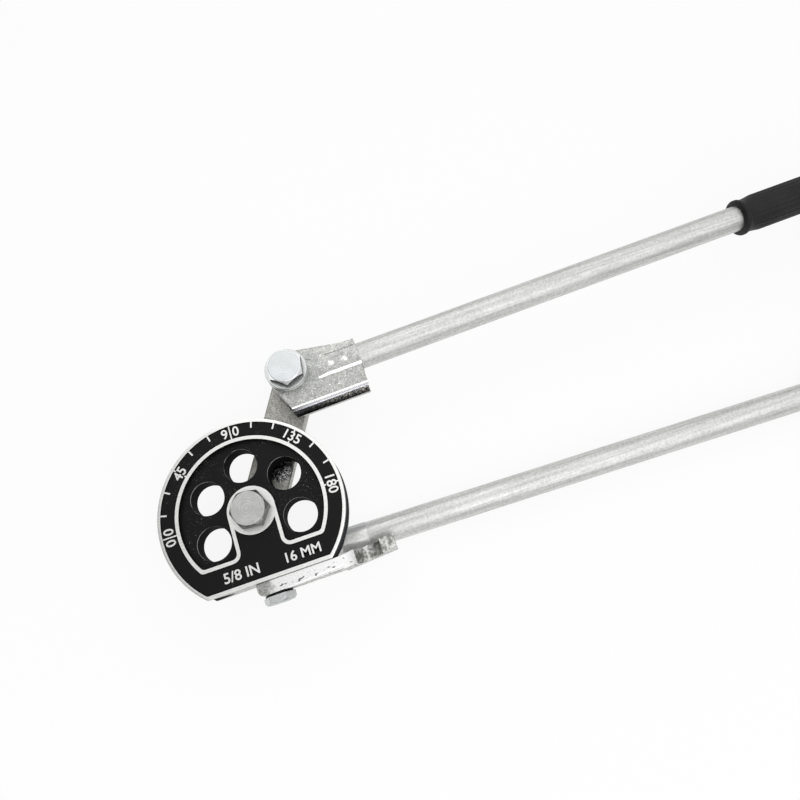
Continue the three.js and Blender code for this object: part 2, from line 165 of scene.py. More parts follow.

# Groove and rim side: turned aluminium with rings, painted dark grey for the shade and dark reflection that
# lie in them.
aluminium_in_painted_shade, tree, shader, place = new_material("turned aluminium in painted shade", "#37383b", 1.0, 0.45)
rings = add_node(tree, "Mapping", "Vector", {"Vector": place, "Scale": (0.1, 0.1, 4.0)})
turning = add_node(tree, "TexNoise", "Fac", {"Vector": rings, **patch_size(1.2)})
dress(tree, shader, shades(tree, turning, "#222325", "#515255"), relief=(turning, 0.03))

# Aluminium as cast: matt pale grey with the sand's grain, about half a millimetre.
rough_cast, tree, shader, place = new_material("rough cast aluminium", "#bfc0bd", 1.0, 0.5)
sand = add_node(tree, "TexNoise", "Fac", {"Vector": place, **patch_size(0.45, 3)})
cloud = add_node(tree, "TexNoise", "Fac", {"Vector": place, **patch_size(4)})
dress(tree, shader, shades(tree, sand, "#9b9c98", "#dcdcda", 0.35, 0.65), (cloud, 0.35, 0.65, 0.42, 0.6),
      (sand, 0.12))


def spun(profile, steps=144):
    """A bmesh turned about Z from (radius, level) points."""
    bm = bmesh.new()
    points = [bm.verts.new((radius, 0, level)) for radius, level in profile]
    edges = [bm.edges.new(pair) for pair in zip(points, points[1:])]
    bmesh.ops.spin(bm, geom=points + edges, cent=(0, 0, 0), axis=(0, 0, 1), dvec=(0, 0, 0),
                   angle=2 * math.pi, steps=steps, use_merge=True, use_duplicate=False)
    bmesh.ops.remove_doubles(bm, verts=bm.verts, dist=0.001)
    bmesh.ops.recalc_face_normals(bm, faces=bm.faces)
    return bm


def raised(outline, low, high):
    """A bmesh of a plan outline raised from one level to another."""
    bm = bmesh.new()
    face = bm.faces.new([bm.verts.new((x, y, low)) for x, y in outline])
    sides = bmesh.ops.extrude_face_region(bm, geom=[face])
    bmesh.ops.translate(bm, vec=(0, 0, high - low),
                        verts=[v for v in sides["geom"] if isinstance(v, bmesh.types.BMVert)])
    bmesh.ops.recalc_face_normals(bm, faces=bm.faces)
    return bm


def bar(low, high):
    """A bmesh box between two corners."""
    bm = bmesh.new()
    bmesh.ops.create_cube(bm, size=1)
    bmesh.ops.scale(bm, vec=Vector(high) - Vector(low), verts=bm.verts)
    bmesh.ops.translate(bm, vec=(Vector(low) + Vector(high)) / 2, verts=bm.verts)
    return bm


def rod(radius, low, high, spot=(0, 0), steps=64):
    """A bmesh rod along Z."""
    bm = bmesh.new()
    bmesh.ops.create_cone(bm, cap_ends=True, segments=steps, radius1=radius, radius2=radius,
                          depth=high - low, matrix=Matrix.Translation((*spot, (low + high) / 2)))
    return bm


def moved(bm, matrix):
    """The bmesh after a transform."""
    bmesh.ops.transform(bm, matrix=matrix, verts=bm.verts)
    return bm


def carved(body, tool, operation="DIFFERENCE"):
    """The first bmesh with the second cut out of it, joined to it or kept in common."""
    ends = []
    for bm in (body, tool):
        mesh = bpy.data.meshes.new("carving")
        bm.to_mesh(mesh)
        bm.free()
        ends.append(bpy.data.objects.new("carving", mesh))
        bpy.context.collection.objects.link(ends[-1])
    cut = ends[0].modifiers.new("cut", "BOOLEAN")
    cut.object = ends[1]
    cut.operation = operation
    cut.solver = "EXACT"
    result = bmesh.new()
    result.from_object(ends[0], bpy.context.evaluated_depsgraph_get())
    for end in ends:
        bpy.data.meshes.remove(end.data)
    return result


def hand_over(name, bm, materials, body, nodes=(), soften=0.0, crease=32):
    """A finished bmesh in mm as a piece of the scene, riding on its body."""
    bmesh.ops.remove_doubles(bm, verts=bm.verts, dist=0.002)
    bmesh.ops.recalc_face_normals(bm, faces=bm.faces)
    bmesh.ops.scale(bm, vec=(MM, MM, MM), verts=bm.verts)
    for face in bm.faces:
        face.smooth = True
    mesh = bpy.data.meshes.new(name)
    bm.to_mesh(mesh)
    bm.free()
    for material in materials:
        mesh.materials.append(material)
    mesh.set_sharp_from_angle(angle=math.radians(crease))
    piece = bpy.data.objects.new(name, mesh)
    bpy.context.collection.objects.link(piece)
    if soften:
        edge = piece.modifiers.new("broken edges", "BEVEL")
        edge.width = soften * MM
        edge.segments = 2
        edge.limit_method = "ANGLE"
        edge.angle_limit = math.radians(crease)
        piece.modifiers.new("flat faces", "WEIGHTED_NORMAL").keep_sharp = True
    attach(piece, body)
    if nodes:
        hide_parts(*nodes)


def arc(radius, first, last, steps, centre=(0, 0)):
    """Points along an arc between two angles in degrees."""
    turn = [math.radians(first + (last - first) * i / steps) for i in range(steps + 1)]
    return [(centre[0] + radius * math.cos(a), centre[1] + radius * math.sin(a)) for a in turn]


def horseshoe(grown=0.0):
    """The pocket's outline: an arc above, flats below and a tongue round the hub."""
    radius, flat = POCKET_RADIUS + grown, POCKET_FLAT + grown
    tongue, corner = HUB_RADIUS - grown, POCKET_CORNER + grown
    side = math.sqrt(radius ** 2 - flat ** 2)
    end = math.degrees(math.atan2(flat, side)) - math.degrees(POCKET_TIGHT_CORNER / radius)
    inner = arc(corner, 0, -90, 6, (-tongue - corner, corner - flat))
    along_flat, sharp = (POCKET_TIGHT_CORNER - side, -flat), (-side, -flat)
    on_arc = (radius * math.cos(math.radians(180 + end)), radius * math.sin(math.radians(180 + end)))
    outer = [along_flat]
    for t in (i / 6 for i in range(1, 6)):
        outer.append(tuple((1 - t) ** 2 * p + 2 * t * (1 - t) * q + t ** 2 * r
                           for p, q, r in zip(along_flat, sharp, on_arc)))
    left = [(-tongue, 0)] + inner + outer
    right = [(-x, y) for x, y in reversed(left)]
    return left + arc(radius, 180 + end, -end, 90) + right + arc(tongue, 0, 180, 36)[1:-1]


rim = [(0, WHEEL_BACK), (WHEEL_RADIUS - 0.5, WHEEL_BACK), (WHEEL_RADIUS, WHEEL_BACK + 0.4)]
rim += arc(GROOVE_RADIUS, -90, -270, 28, (WHEEL_RADIUS, GROOVE_Z))
rim += [(WHEEL_RADIUS, WHEEL_TOP - 0.6), (WHEEL_RADIUS - 0.2, WHEEL_TOP - 0.2),
        (WHEEL_RADIUS - 0.7, WHEEL_TOP), (LAND_RADIUS + 0.2, WHEEL_TOP), (LAND_RADIUS, LAND_Z),
        (0, LAND_Z)]
wheel = spun(rim)
ridge_out, ridge_top = WHEEL_RADIUS - 1.1, WHEEL_TOP - 0.02
chord_ridge = spun([(0, UNDER_LAND), (ridge_out, UNDER_LAND), (ridge_out, ridge_top), (0, ridge_top)])
chord_ridge = carved(chord_ridge, bar((-60, CHORD_Y + RIDGE, 40), (60, 60, OVER_WHEEL)))
wheel = carved(wheel, chord_ridge, "UNION")
wheel = carved(wheel, raised(horseshoe(RIDGE), UNDER_LAND, WHEEL_TOP), "UNION")
wheel = carved(wheel, rod(HUB_RADIUS, UNDER_LAND, WHEEL_TOP + 0.01, steps=96), "UNION")
wheel = carved(wheel, raised(horseshoe(), WHEEL_TOP - POCKET_DEPTH, OVER_WHEEL))
wheel = carved(wheel, raised(horseshoe(), UNDER_WHEEL, WHEEL_BACK + POCKET_DEPTH))
for i in range(WINDOW_COUNT):
    around = math.radians(90 + (i - 2) * WINDOW_STEP)
    spot = (WINDOW_CIRCLE * math.cos(around), WINDOW_CIRCLE * math.sin(around))
    wheel = carved(wheel, rod(WINDOW_RADIUS, UNDER_WHEEL, OVER_WHEEL, spot))
wheel = carved(wheel, bar((-60, -70, UNDER_WHEEL), (60, CHORD_Y, OVER_WHEEL)))
# The groove and the rim's outer side take painted shade; the window walls take their own painted shade.
for face in wheel.faces:
    centre = face.calc_center_median()
    out = math.hypot(centre.x, centre.y)
    if centre.y < CHORD_Y + 0.01:
        face.material_index = AS_CAST
    elif face.normal.z > 0.9 and centre.z > WHEEL_TOP - 0.1:
        face.material_index = BARE
    elif out > 46 and 27 < centre.z < 43.7:
        face.material_index = PAINTED_RIM_SHADE
    elif centre.z < WHEEL_BACK + POCKET_DEPTH + 0.1 or out > LAND_RADIUS + 0.15:
        face.material_index = AS_CAST if centre.z < 40 else BARE if out < WHEEL_RADIUS - 0.1 else PAINTED_RIM_SHADE
    elif abs(face.normal.z) < 0.1 and out < 43 and 29 < centre.z < 42:
        face.material_index = WINDOW_WALL_SHADE
    else:
        face.material_index = ENAMEL
hand_over("forming_wheel_casting", wheel,
          [ground_aluminium, black_enamel, aluminium_in_painted_shade, rough_cast, window_painted_shade],
          "wheel", ["forming_wheel"], soften=0.22)


# The dial's marks: a stroke every 15 degrees and a number every 45, cast proud of the
# enamel and ground bare with the ridges. The only words name the tube's size.
NUMBER_CIRCLE = 50.4
NUMBER_SIZE = 8.4
LETTER_SPREAD = 0.13
STROKE_END = 55.2
MARK_FOOT = LAND_Z - 0.3
MARK_TOP = WHEEL_TOP - 0.12
SIZE_WORDS_Y = -34.2


def numerals(words, size, angle=0.0, radius=0.0, spot=(0, 0)):
    """Words as a bmesh in mm, standing on the dial's land."""
    curve = bpy.data.curves.new(words, "FONT")
    curve.body = words
    curve.size = size
    curve.offset = LETTER_SPREAD
    curve.extrude = 0.5
    curve.align_x = "CENTER"
    curve.align_y = "CENTER"
    curve.resolution_u = 6
    holder = bpy.data.objects.new(words, curve)
    bpy.context.collection.objects.link(holder)
    mesh = bpy.data.meshes.new_from_object(holder.evaluated_get(bpy.context.evaluated_depsgraph_get()))
    bm = bmesh.new()
    bm.from_mesh(mesh)
    bpy.data.objects.remove(holder)
    bpy.data.meshes.remove(mesh)
    turn = Matrix.Rotation(math.radians(angle), 4, "Z")
    where = Matrix.Translation((*spot, LAND_Z + 0.15)) @ turn @ Matrix.Translation((0, radius, 0))
    return moved(bm, where)


def stroke(degrees, half_width, inner, outer=STROKE_END):
    """A raised stroke that points outwards at a degree of the dial."""
    line = bar((-half_width, inner, MARK_FOOT), (half_width, outer, MARK_TOP))
    return moved(line, Matrix.Rotation(math.radians(90 - degrees), 4, "Z"))


def joined(parts):
    """Several bmeshes as one, each still a solid of its own."""
    whole = bmesh.new()
    for part in parts:
        mesh = bpy.data.meshes.new("joining")
        part.to_mesh(mesh)
        part.free()
        whole.from_mesh(mesh)
        bpy.data.meshes.remove(mesh)
    return whole


marks = []
for degrees in range(0, 181, 15):
    if degrees in (0, 90):
        marks.append(stroke(degrees, 0.4, 45.6))
    elif degrees in (45, 135, 180):
        marks += [stroke(degrees, 0.45, 45.8, 47.2), stroke(degrees, 0.45, 53.6)]
    else:
        marks.append(stroke(degrees, 0.5, 51.2))
for words, degrees in (("45", 45), ("135", 135), ("180", 180), ("0", -3.9), ("0", 3.9), ("9", 86), ("0", 94)):
    marks.append(numerals(words, NUMBER_SIZE, 90 - degrees, NUMBER_CIRCLE))
marks.append(numerals("5/8 IN", 8.6, spot=(-15.0, SIZE_WORDS_Y)))
marks.append(numerals("16 MM", 8.2, spot=(22.2, SIZE_WORDS_Y)))
hand_over("dial_marks", joined(marks), [ground_aluminium], "wheel")


# The socket that the lower pipe is driven into: part of the wheel's casting, a thick
# boss joined to its back by a web, with a thin turned collar at its mouth.
LOWER_PIPE_Y, LOWER_PIPE_Z, LOWER_PIPE_TURN = -31.8, 12.2, -1.46
LOWER_AXIS = (Matrix.Translation((0, LOWER_PIPE_Y, LOWER_PIPE_Z))
              @ Matrix.Rotation(math.radians(LOWER_PIPE_TURN), 4, "Z"))
ALONG_X = Matrix.Rotation(math.radians(90), 4, "Y")
SOCKET_RADIUS = 11.2
SOCKET_LENGTH = 40
SOCKET_EDGE = 0.8
WEB_TOP = 12.9
COLLAR_RADIUS = 9.0
COLLAR_END = 61
PIPE_RADIUS = 8.6
PIPE_START = 15.5
PRESS_GAP = 0.1
socket = spun([(0, 0), (SOCKET_RADIUS - SOCKET_EDGE, 0), (SOCKET_RADIUS, SOCKET_EDGE),
               (SOCKET_RADIUS, SOCKET_LENGTH - SOCKET_EDGE), (SOCKET_RADIUS - SOCKET_EDGE, SOCKET_LENGTH),
               (COLLAR_RADIUS, SOCKET_LENGTH + 0.9), (COLLAR_RADIUS, COLLAR_END - 0.2),
               (COLLAR_RADIUS - 0.2, COLLAR_END), (0, COLLAR_END)], 72)
web = bar((0.3, -PIPE_RADIUS, 0), (SOCKET_LENGTH - 0.4, PIPE_RADIUS, WEB_TOP))
socket = carved(moved(socket, ALONG_X), web, "UNION")
socket = carved(socket, moved(rod(PIPE_RADIUS + PRESS_GAP, PIPE_START - PRESS_GAP, 70), ALONG_X))

# Cast aluminium, near white where lit, with painted shade: greyer on its side under the wheel.
socket_cast_painted_shade, tree, shader, place = new_material("cast aluminium with painted shade", "#f4f4f2", 0.45, 0.3)
skin = add_node(tree, "TexNoise", "Fac", {"Vector": place, **patch_size(0.8, 3)})
across = add_node(tree, "SeparateXYZ", "Y", {"Vector": place})
ragged = add_node(tree, "Math", "Value", {0: across, 1: skin}, operation="ADD")
# Painted shade: the side of the socket under the wheel turns grey.
painted_shade_under_wheel = add_node(tree, "MapRange", "Result", {"Value": ragged, **between(-29.8, -28.6)})
colour = add_node(tree, "Mix", "Result",
                  {"Factor": painted_shade_under_wheel, "A": shades(tree, skin, "#dadad8", "#f2f2f0", 0.3, 0.6),
                   "B": linear("#c0c1c1")}, data_type="RGBA")
dress(tree, shader, colour, relief=(skin, 0.015))
hand_over("lower_socket", moved(socket, LOWER_AXIS), [socket_cast_painted_shade], "wheel", soften=0.4)


# The two handles' pipes: 17.2 mm steel tube, zinc plated, with a fine lengthwise draw
# grain under a satin sheen. Each ends in its socket and inside its grip.
PIPE_BORE = 6.6
PIPE_IN_GRIP = 114.9
LOWER_REACH = 372
UPPER_REACH = 319
PIVOT = (44.9701, 77.2664)
LEVER_TURN = 1.95
UPPER_PIPE_DROP, UPPER_PIPE_Z = 3.6, 37.6
LEVER = Matrix.Translation((*PIVOT, 0)) @ Matrix.Rotation(math.radians(LEVER_TURN), 4, "Z")
HEAD_BORE = Matrix.Translation((0, -UPPER_PIPE_DROP, UPPER_PIPE_Z))
UPPER_AXIS = LEVER @ HEAD_BORE

# Zinc-plated drawn steel: pale satin, mottled, with faint lines drawn out fifty times.
zinc_tube, tree, shader, place = new_material("zinc-plated drawn steel", "#cdcdca", 1.0, 0.4)
lines = add_node(tree, "Mapping", "Vector", {"Vector": place, "Scale": (0.02, 1.0, 1.0)})
drawn = add_node(tree, "TexNoise", "Fac", {"Vector": lines, **patch_size(0.5)})
spangle = add_node(tree, "TexNoise", "Fac", {"Vector": place, **patch_size(0.8, 3)})
cloud = add_node(tree, "TexNoise", "Fac", {"Vector": place, **patch_size(7)})
both = add_node(tree, "Math", "Value", {0: drawn, 1: spangle}, operation="ADD")
dress(tree, shader, shades(tree, both, "#bfbfbd", "#e3e3e1", 0.7, 1.3), (cloud, 0.3, 0.7, 0.46, 0.54),
      (both, 0.012))


def pipe(reach):
    """A tube along its own X, from the bottom of its socket to the end inside its grip."""
    end = reach + PIPE_IN_GRIP
    bm = spun([(PIPE_BORE, PIPE_START), (PIPE_RADIUS - 0.3, PIPE_START), (PIPE_RADIUS, PIPE_START + 0.3),
               (PIPE_RADIUS, end), (PIPE_BORE, end), (PIPE_BORE, PIPE_START)], 72)
    return moved(bm, ALONG_X)


hand_over("lower_handle_pipe", moved(pipe(LOWER_REACH), LOWER_AXIS), [zinc_tube], "wheel",
          ["lower_pipe"])
hand_over("upper_handle_pipe", moved(pipe(UPPER_REACH), UPPER_AXIS), [zinc_tube], "lever",
          ["upper_pipe"])


# The grips: black sleeves moulded in soft vinyl with lengthwise ribs, a rolled lip at
# the mouth and a closed rounded end, pushed on over the pipes.
GRIP_RADIUS = 12.2
RIB_COUNT = 24
RIB_DEPTH = 0.5
STEPS_PER_RIB = 4

# Moulded black vinyl: matt and finely grained, a little paler where hands rub it.
black_vinyl, tree, shader, place = new_material("moulded black vinyl", "#171718", 0.0, 0.55, 0.3)
matt = add_node(tree, "TexNoise", "Fac", {"Vector": place, **patch_size(0.6, 3)})
handled = add_node(tree, "TexNoise", "Fac", {"Vector": place, **patch_size(12)})
dress(tree, shader, shades(tree, handled, "#131314", "#1f1f1f", 0.4, 0.65), (matt, 0.3, 0.7, 0.48, 0.64),
      (matt, 0.06))


def grip(reach):
    """A sleeve along its own X, from rings at (distance past the reach, radius, depth between ribs)."""
    stations = [(1.4, 8.8, 0), (1.4, 10.9, 0), (1.8, 11.8, 0), (2.6, GRIP_RADIUS, 0), (4.2, GRIP_RADIUS, 0),
                (5.2, 11.8, 0), (6.2, 11.35, 0), (8.5, 11.3, 0), (11, 11.6, 0.15), (15, GRIP_RADIUS, 0.45),
                (60, GRIP_RADIUS, RIB_DEPTH), (110, GRIP_RADIUS, RIB_DEPTH), (113, GRIP_RADIUS, 0.1),
                (117.5, GRIP_RADIUS, 0), (119.2, 11.5, 0), (120, 10.2, 0), (120, 0.01, 0)]
    steps = RIB_COUNT * STEPS_PER_RIB
    bm = bmesh.new()
    verts = bmesh.ops.create_circle(bm, segments=steps, radius=1)["verts"]
    for vert in verts:
        vert.co = (0, vert.co.x, vert.co.y)
    edges = list(bm.edges)
    for index, (along, radius, sunk) in enumerate(stations):
        if index:
            grown = bmesh.ops.extrude_edge_only(bm, edges=edges)["geom"]
            verts = [v for v in grown if isinstance(v, bmesh.types.BMVert)]
            edges = [e for e in grown if isinstance(e, bmesh.types.BMEdge)]
        for vert in verts:
            around = math.atan2(vert.co.z, vert.co.y)
            step = round(around / (2 * math.pi) * steps) % STEPS_PER_RIB
            out = radius - sunk if step in (0, 1) else radius
            vert.co = (reach + along, out * math.cos(around), out * math.sin(around))
    return bm


hand_over("lower_handle_grip", moved(grip(LOWER_REACH), LOWER_AXIS), [black_vinyl], "wheel",
          ["lower_grip"], crease=60)
hand_over("upper_handle_grip", moved(grip(UPPER_REACH), UPPER_AXIS), [black_vinyl], "lever",
          ["upper_grip"], crease=60)


# Bolts, nuts and washers: M14 hexagon fasteners at the axle and the pivot and an M10
# one at the hook. Their heads are turned, which leaves rings on the top face.
AT_PIVOT = Matrix.Translation((*PIVOT, 0))
BOLT_FLATS = 21
BOLT_RADIUS = 7
BOLT_HOLE = 7.1
FACE_GAP = 0.1
SEAT_Z = WHEEL_TOP + FACE_GAP
THICK_WASHER = 5.4
PIVOT_SEAT_Z = SEAT_Z + THICK_WASHER + FACE_GAP
AXLE_HEAD, AXLE_CHAMFER, AXLE_TURN = 8.8, 3.8, 54.5
PIVOT_HEAD, PIVOT_CHAMFER, PIVOT_TURN = 5.4, 2.8, 22
NUT_LOW, NUT_TOP, NUT_CHAMFER = 4.7, 12.7, 1.2
WASHER, WASHER_RADIUS = 2, 13.4
SPACER, SPACER_LOW = 0.8, 23.5
FACE_SHARE = 0.48
RING_PITCH = 0.385


def turned_steel(name, centre, low, high, sideways=False):
    """Zinc-plated turned steel: wandering tool rings, strong and faint by patches, over worn plating."""
    material, tree, shader, place = new_material(name, "#c9cccd", 1.0, 0.33)
    about = add_node(tree, "Mapping", "Vector", {"Vector": place, "Location": (-centre[0], -centre[1], 0)})
    flat = add_node(tree, "VectorMath", "Vector", {0: about, 1: (1, 0, 1) if sideways else (1, 1, 0)},
                    operation="MULTIPLY")
    out = add_node(tree, "VectorMath", "Value", {0: flat}, operation="LENGTH")
    wobble = blotches(tree, place, 2.2, 0.25, 0.75, 0, 1.8)
    wander = add_node(tree, "Math", "Value", {0: out, 1: wobble}, operation="ADD")
    rings = add_node(tree, "TexNoise", "Fac", {"W": wander, **patch_size(RING_PITCH, 3)},
                     noise_dimensions="1D")
    clear = add_node(tree, "MapRange", "Result", {"Value": rings, **between(0.38, 0.62)})
    patchy = blotches(tree, place, 4.0, 0.4, 0.6, 0.2, 0.75)
    faint = add_node(tree, "Math", "Value", {0: clear, 1: patchy}, operation="MULTIPLY")
    wear = add_node(tree, "TexNoise", "Fac", {"Vector": place, **patch_size(1.4, 3)})
    worn = add_node(tree, "MapRange", "Result", {"Value": wear, **between(0.3, 0.7, 0.12, 0.27)})
    both = add_node(tree, "Math", "Value", {0: faint, 1: worn}, operation="ADD")
    dress(tree, shader, shades(tree, both, low, high, 0, 0.9), (wear, 0.3, 0.7, 0.3, 0.42), (both, 0.015))
    return material


# Corners that rub on tube and bench: plating burnished smooth, its near white a painted highlight.
burnish_and_highlight, tree, shader, place = new_material("burnished plated edge with painted highlight", "#fbfbfc", 1.0, 0.24)
soft = add_node(tree, "TexNoise", "Fac", {"Vector": place, **patch_size(1.2)})
dress(tree, shader, relief=(soft, 0.02))

# Sides of the hexagons: painted near black for the dark reflection they show between the bright turned faces,
# with paler scuffs.
flats_painted_dark, tree, shader, place = new_material("hexagon flats painted dark", "#1b1b1d", 1.0, 0.35)
scuffs = add_node(tree, "TexNoise", "Fac", {"Vector": place, **patch_size(0.8, 3)})
dress(tree, shader, shades(tree, scuffs, "#151516", "#7c7e80", 0.55, 0.75))

# Punched and tumbled steel under zinc: pale and evenly mottled.
zinc_washer, tree, shader, place = new_material("zinc-plated punched steel", "#cfd1d1", 1.0, 0.32)
tumbled = add_node(tree, "TexNoise", "Fac", {"Vector": place, **patch_size(0.7, 3)})
dress(tree, shader, shades(tree, tumbled, "#babcbc", "#e2e3e3"), (tumbled, 0.3, 0.7, 0.26, 0.42),
      (tumbled, 0.03))


def hexagon(flats, low, high, turn, top, bottom=0.0):
    """A hexagon with one corner at a turn, its corners turned down to a cone at the ends."""
    corner = flats / math.sqrt(3)
    face = FACE_SHARE * flats
    # The block reaches past the cone: with shared end planes the cut breaks now and then.
    block = rod(corner, low - 1 if bottom else low, high + 1, steps=6)
    block = moved(block, Matrix.Rotation(math.radians(turn - 30), 4, "Z"))
    foot = [(0, low - 1), (corner + 1, low - 1)]
    if bottom:
        foot = [(0, low), (face, low), (corner + 0.02, low + bottom)]
    cone = foot + [(corner + 0.02, high - top), (face, high), (0, high)]
    head = carved(block, spun(cone, 96), "INTERSECT")
    for side in head.faces:
        lean = abs(side.normal.z)
        side.material_index = 1 if lean < 0.1 else 2 if lean < 0.95 else 0
    return head


def shank(radius, low, high):
    """A bolt's shank with a small cone at its end."""
    return spun([(0, low), (radius - 1, low), (radius, low + 1), (radius, high), (0, high)], 48)


def washer(low, thickness, inner=BOLT_HOLE, outer=WASHER_RADIUS):
    """A flat washer with slightly rounded edges; the thick one has a thin parting line round it."""
    high, edge = low + thickness, 0.3 * min(thickness, 1)
    middle = low + thickness / 2
    parting = []
    if thickness == THICK_WASHER:
        parting = [(outer, middle - 0.25), (outer - 0.6, middle), (outer, middle + 0.25)]
    return spun([(inner, low), (outer - edge, low), (outer, low + edge), *parting, (outer, high - edge),
                 (outer - edge, high), (inner, high), (inner, low)], 96)


axle_steel = turned_steel("turned steel of the axle bolt", (-0.6, 0.2), "#b0b1af", "#d8d8d6")
pivot_steel = turned_steel("turned steel of the pivot bolt", PIVOT, "#c4c8c9", "#dcdfe1")
bolt = carved(hexagon(BOLT_FLATS, SEAT_Z, SEAT_Z + AXLE_HEAD, AXLE_TURN, AXLE_CHAMFER),
              shank(BOLT_RADIUS, 0, SEAT_Z + 0.5), "UNION")
hand_over("axle_hexagon_bolt", bolt, [axle_steel, flats_painted_dark, axle_steel], "wheel",
          ["axle_bolt"], soften=0.18)
bolt = carved(hexagon(BOLT_FLATS, PIVOT_SEAT_Z, PIVOT_SEAT_Z + PIVOT_HEAD, PIVOT_TURN, PIVOT_CHAMFER),
              shank(BOLT_RADIUS, 0, PIVOT_SEAT_Z + 0.5), "UNION")
hand_over("pivot_hexagon_bolt", moved(bolt, AT_PIVOT), [pivot_steel, flats_painted_dark, burnish_and_highlight], "link",
          ["pivot_bolt"], soften=0.18)
for name, spot, turn, material, body, node in (
        ("axle_hexagon_nut", Matrix(), AXLE_TURN, axle_steel, "wheel", "axle_nut"),
        ("pivot_hexagon_nut", AT_PIVOT, PIVOT_TURN, pivot_steel, "link", "pivot_nut")):
    nut = carved(hexagon(BOLT_FLATS, NUT_LOW, NUT_TOP, turn, NUT_CHAMFER, NUT_CHAMFER),
                 rod(BOLT_RADIUS + 0.05, 0, 20))
    hand_over(name, moved(nut, spot), [material, material, burnish_and_highlight], body, [node], soften=0.15)
for name, low, thickness, spot, body, node in (
        ("axle_thin_spacer", SPACER_LOW, SPACER, Matrix(), "wheel", "axle_spacer"),
        ("axle_flat_washer", NUT_TOP + FACE_GAP, WASHER, Matrix(), "wheel", "axle_washer"),
        ("pivot_top_washer", SEAT_Z, THICK_WASHER, AT_PIVOT, "link", "pivot_front_washer"),
        ("pivot_thin_spacer", SPACER_LOW, SPACER, AT_PIVOT, "link", "pivot_spacer"),
        ("pivot_flat_washer", NUT_TOP + FACE_GAP, WASHER, AT_PIVOT, "link", "pivot_back_washer")):
    hand_over(name, moved(washer(low, thickness), spot), [zinc_washer], body, [node])


# The link: a flat bar with round ends between the axle and the pivot, rough blanked
# steel under dull zinc, lying behind the wheel and the head.
LINK_LENGTH = 89.4002
LINK_TURN = 59.8
LINK_END_RADIUS = 13.75
LINK_LOW, LINK_TOP = 14.9, 23.4
WINDOW_SHADOW_SPOT = (19.5, 26.0, LINK_TOP)

# Dull zinc on rough steel: pitted and grey, and behind one window a glossy oily patch made black by a painted
# shadow of the window's wall.
blasted_steel, tree, shader, place = new_material("dull zinc on rough steel", "#b4b3ad", 1.0, 0.5)
pits = add_node(tree, "TexNoise", "Fac", {"Vector": place, **patch_size(0.5, 4)})
zinc = shades(tree, pits, "#96958f", "#c9c8c3", 0.35, 0.65)
shadow_shades = shades(tree, pits, "#1e1e1f", "#c9c9c9", 0.46, 0.64)
away = add_node(tree, "VectorMath", "Value", {0: place, 1: WINDOW_SHADOW_SPOT}, operation="DISTANCE")
uneven = add_node(tree, "TexNoise", "Fac", {"Vector": place, **patch_size(2.5, 3)})
ragged = add_node(tree, "Math", "Value", {0: uneven, 1: 5.0}, operation="MULTIPLY")
shadow_reach = add_node(tree, "Math", "Value", {0: away, 1: ragged}, operation="ADD")
# Painted shadow: black and speckled within about 11 to 14 mm of the spot behind the window, with a ragged
# edge.
oiled = add_node(tree, "MapRange", "Result", {"Value": shadow_reach, **between(11.0, 14.5, 1, 0)})
colour = add_node(tree, "Mix", "Result", {"Factor": oiled, "A": zinc, "B": shadow_shades}, data_type="RGBA")
dress(tree, shader, colour, (oiled, 0, 1, 0.5, 0.22), (pits, 0.08))

outline = arc(LINK_END_RADIUS, 90, 270, 40) + arc(LINK_END_RADIUS, -90, 90, 40, (LINK_LENGTH, 0))
plate = raised(outline, LINK_LOW, LINK_TOP)
for along in (0, LINK_LENGTH):
    plate = carved(plate, rod(BOLT_HOLE, 10, 30, (along, 0)))
hand_over("link_bar", moved(plate, Matrix.Rotation(math.radians(LINK_TURN), 4, "Z")), [blasted_steel],
          "link", ["link_plate"], soften=0.8)


# The shoe head: a casting on the end of the upper handle, zinc plated over its sand
# grain, with the pipe's boss behind a raised pad and the shoe's groove along its foot.
HEAD_START, HEAD_END = -4.5, 46
HEAD_TOP_END = 5
SHOE_Y = -25.1
LIP_ROUND = 1.4
NOSE_RADIUS = 13.5
CASTING_END = HEAD_END + 0.6
PAD_TOP = WHEEL_TOP + 1.5
PAD_RAMP_FOOT, PAD_RAMP_TOP = 8, 24
PAD_BRIGHT_FROM = 17.5
PAD_ROOT = 44
PIN_MARKS = ((73.2, 73.3, 47.9), (82.0, 73.6, 47.9))

# Zinc over sand grain: grey with white flecks, and white in a ragged patch round each of the two pins.
plated_casting, tree, shader, place = new_material("zinc-plated sand casting", "#b8b9b6", 1.0, 0.45)
sand = add_node(tree, "TexNoise", "Fac", {"Vector": place, **patch_size(0.45, 3)})
flecks = blotches(tree, place, 0.45, 0.66, 0.74)
for pin_mark in PIN_MARKS:
    near = add_node(tree, "VectorMath", "Value", {0: place, 1: pin_mark}, operation="DISTANCE")
    uneven = add_node(tree, "TexNoise", "Fac", {"Vector": place, **patch_size(0.9, 3)})
    ragged_reach = add_node(tree, "Math", "Value", {0: uneven, 1: 7.0}, operation="MULTIPLY")
    dent = add_node(tree, "Math", "Value", {0: near, 1: ragged_reach}, operation="ADD")
    round_pin_patch = add_node(tree, "MapRange", "Result", {"Value": dent, **between(4.5, 5.3, 1, 0)})
    flecks = add_node(tree, "Math", "Value", {0: flecks, 1: round_pin_patch}, operation="MAXIMUM")
skin = shades(tree, sand, "#9b9c99", "#c9cac7", 0.35, 0.65)
colour = add_node(tree, "Mix", "Result", {"Factor": flecks, "A": skin, "B": linear("#ffffff")},
                  data_type="RGBA")
cloud = add_node(tree, "TexNoise", "Fac", {"Vector": place, **patch_size(2.5)})
dress(tree, shader, colour, (cloud, 0.3, 0.7, 0.34, 0.52), (sand, 0.08))
